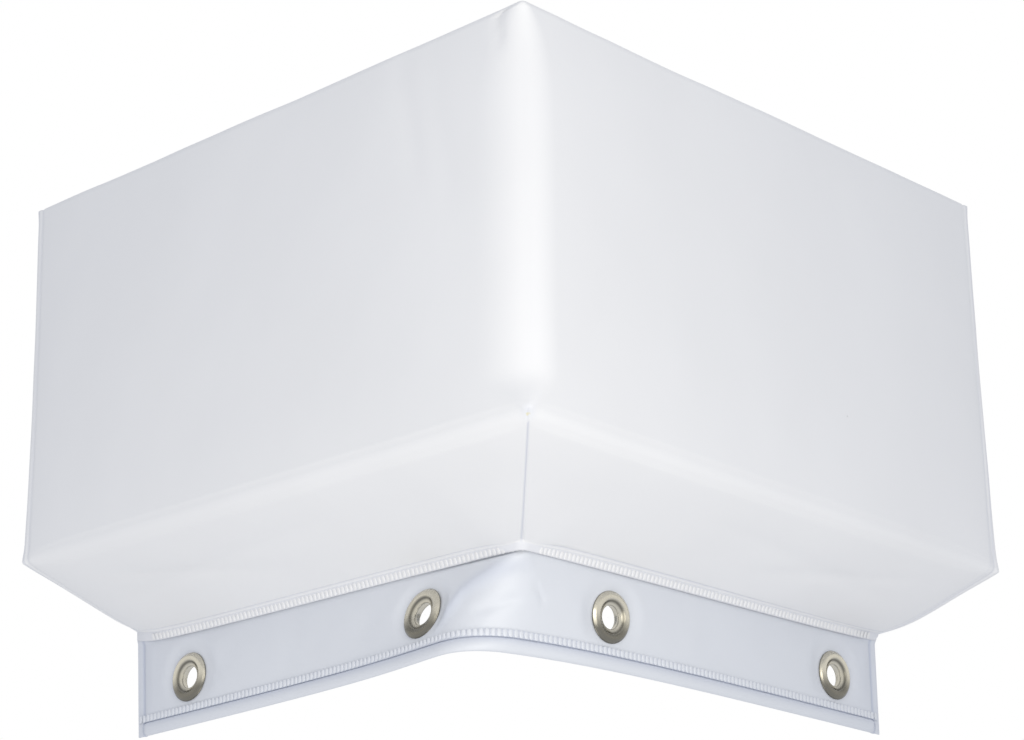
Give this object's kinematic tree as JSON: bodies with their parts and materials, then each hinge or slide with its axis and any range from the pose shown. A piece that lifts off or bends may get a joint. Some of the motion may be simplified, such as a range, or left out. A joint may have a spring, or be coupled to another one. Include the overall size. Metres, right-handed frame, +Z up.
{
  "type": "dock corner bumper",
  "caption": "L-shaped foam cushion in welded white vinyl that wraps the outside corner of a dock, with a folded grommet flange below for fixing screws.",
  "frame": {"origin": "the dock's corner edge, at the height of the seam between the cushion and the grommet flange", "axes": "+X along the right wing and out of the left wing's dock face, +Y along the left wing and out of the right wing's dock face, +Z up"},
  "size_m": [0.254, 0.254, 0.199],
  "materials": {
    "cover_vinyl": "satin white marine vinyl",
    "panel_vinyl": "matt white marine vinyl",
    "flange_vinyl": "satin white marine vinyl, two layers welded",
    "foam": "closed-cell polyethylene foam",
    "grommet_metal": "nickel-plated, bright, a little dulled"
  },
  "bodies": {
    "root": {"foam_core_right": "foam", "foam_core_left": "foam", "outer_cover": "cover_vinyl", "back_panel": "panel_vinyl", "end_panel_right": "panel_vinyl", "end_panel_left": "panel_vinyl", "grommet_flange": "flange_vinyl", "eyelet_left_outer": "grommet_metal", "eyelet_left_inner": "grommet_metal", "eyelet_right_inner": "grommet_metal", "eyelet_right_outer": "grommet_metal", "washer_left_outer": "grommet_metal", "washer_left_inner": "grommet_metal", "washer_right_inner": "grommet_metal", "washer_right_outer": "grommet_metal"}
  },
  "joints": []
}
